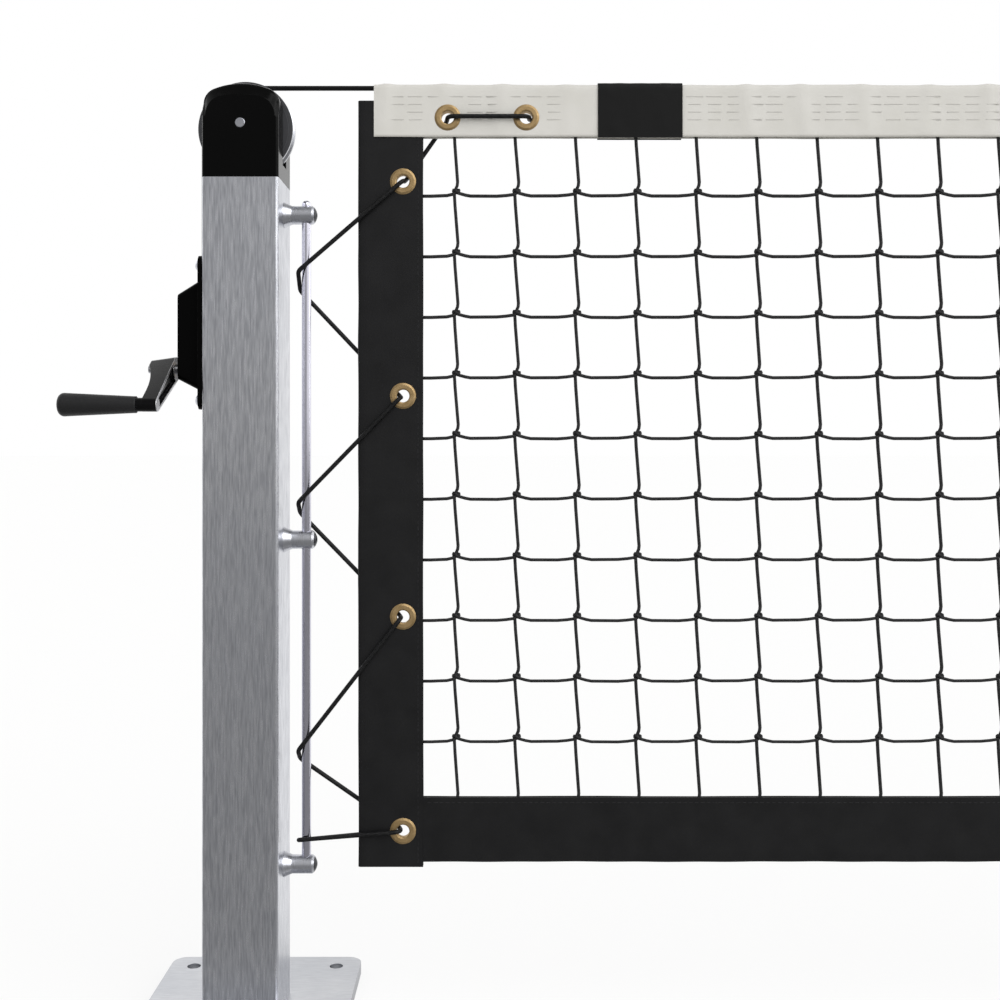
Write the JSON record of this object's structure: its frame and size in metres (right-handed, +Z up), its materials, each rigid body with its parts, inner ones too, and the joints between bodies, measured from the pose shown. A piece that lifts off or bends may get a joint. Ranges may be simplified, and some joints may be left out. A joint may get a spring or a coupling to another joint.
{
  "type": "pickleball net",
  "caption": "Court net on a tensioned top cable between two square posts, with a worm gear crank winch, pulley caps, laced side tapes, white headband and base plates.",
  "frame": {"origin": "on the ground, at the middle of the winch post's base plate", "axes": "+X along the net to the anchor post, +Y away from the side where the crank's handle stands, +Z up"},
  "size_m": [7.0371, 0.25, 0.9156],
  "materials": {
    "brushed_aluminium": "vertical brushed grain",
    "turned_aluminium": "satin turned",
    "black_casting": "gloss black powder coat",
    "pulley_metal": "black anodised faces, bare groove",
    "zinc_steel": "zinc plated",
    "black_oxide": "black oxide",
    "gear_steel": "machined, oiled",
    "bearing_bronze": "sintered bronze",
    "cable_jacket": "black coated wire rope",
    "white_vinyl": "off-white coated cloth",
    "black_vinyl": "black coated cloth",
    "patch_cloth": "plain black woven patch",
    "net_cord": "black braided cord",
    "lacing": "black braided cord",
    "antique_brass": "aged brass",
    "grip_plastic": "dark matte moulded"
  },
  "bodies": {
    "root": {"winch_post_tube": "brushed_aluminium", "anchor_post_tube": "brushed_aluminium", "winch_post_base_plate": "turned_aluminium", "anchor_post_base_plate": "turned_aluminium", "winch_post_cap": "black_casting", "anchor_post_cap": "black_casting", "winch_post_cap_screws": "zinc_steel", "anchor_post_cap_screws": "zinc_steel", "winch_pulley_axle": "zinc_steel", "anchor_pulley_axle": "zinc_steel", "winch_post_lacing_rod": "zinc_steel", "anchor_post_lacing_rod": "zinc_steel", "winch_post_rod_standoffs": "turned_aluminium", "anchor_post_rod_standoffs": "turned_aluminium", "winch_post_clamp_screws": "black_oxide", "anchor_post_clamp_screws": "black_oxide", "winch_post_rivet_nuts": "zinc_steel", "anchor_post_rivet_nuts": "zinc_steel", "winch_mounting_plate": "black_casting", "winch_plate_screws": "zinc_steel", "winch_housing": "black_casting", "winch_gear_frame": "zinc_steel", "winch_reel_axle": "gear_steel", "winch_worm_bushes": "bearing_bronze", "tension_cable": "cable_jacket", "cable_ferrule": "zinc_steel", "headband": "white_vinyl", "headband_patch": "patch_cloth", "side_tape_left": "black_vinyl", "side_tape_right": "black_vinyl", "bottom_tape": "black_vinyl", "net_mesh": "net_cord", "grommets_left": "antique_brass", "grommets_right": "antique_brass", "lacing_cord_left": "lacing", "lacing_cord_right": "lacing", "lacing_knots_left": "lacing", "lacing_knots_right": "lacing", "cable_anchor_bracket": "black_casting", "cable_anchor_pin": "zinc_steel", "cable_anchor_screws": "zinc_steel"},
    "crank": {"worm_shaft": "gear_steel", "crank_arm": "black_casting", "crank_screw": "zinc_steel", "crank_handle_pin": "gear_steel"},
    "grip": {"crank_grip": "grip_plastic"},
    "reel": {"worm_wheel": "bearing_bronze", "cable_reel": "gear_steel"},
    "winch_pulley": {"winch_pulley": "pulley_metal", "winch_pulley_bush": "bearing_bronze"},
    "anchor_pulley": {"anchor_pulley": "pulley_metal", "anchor_pulley_bush": "bearing_bronze"}
  },
  "joints": [
    {"name": "crank_turn", "type": "hinge", "parent": "root", "child": "crank", "pos_m": [-0.0786, -0.009, 0.635], "axis": [1, 0, 0], "continuous": true},
    {"name": "grip_spin", "type": "hinge", "parent": "crank", "child": "grip", "pos_m": [-0.12, -0.08, 0.5987], "axis": [1, 0, 0], "continuous": true},
    {"name": "reel_turn", "type": "hinge", "parent": "root", "child": "reel", "pos_m": [-0.022, 0, 0.667], "axis": [0, 1, 0], "continuous": true},
    {"name": "winch_pulley_turn", "type": "hinge", "parent": "root", "child": "winch_pulley", "pos_m": [0, 0, 0.8688], "axis": [0, 1, 0], "continuous": true},
    {"name": "anchor_pulley_turn", "type": "hinge", "parent": "root", "child": "anchor_pulley", "pos_m": [6.779, 0, 0.8688], "axis": [0, 1, 0], "continuous": true}
  ],
  "couplings": [
    {"joint": "reel_turn", "follows": "crank_turn", "ratio": 0.041667},
    {"joint": "winch_pulley_turn", "follows": "crank_turn", "ratio": 0.019841}
  ]
}
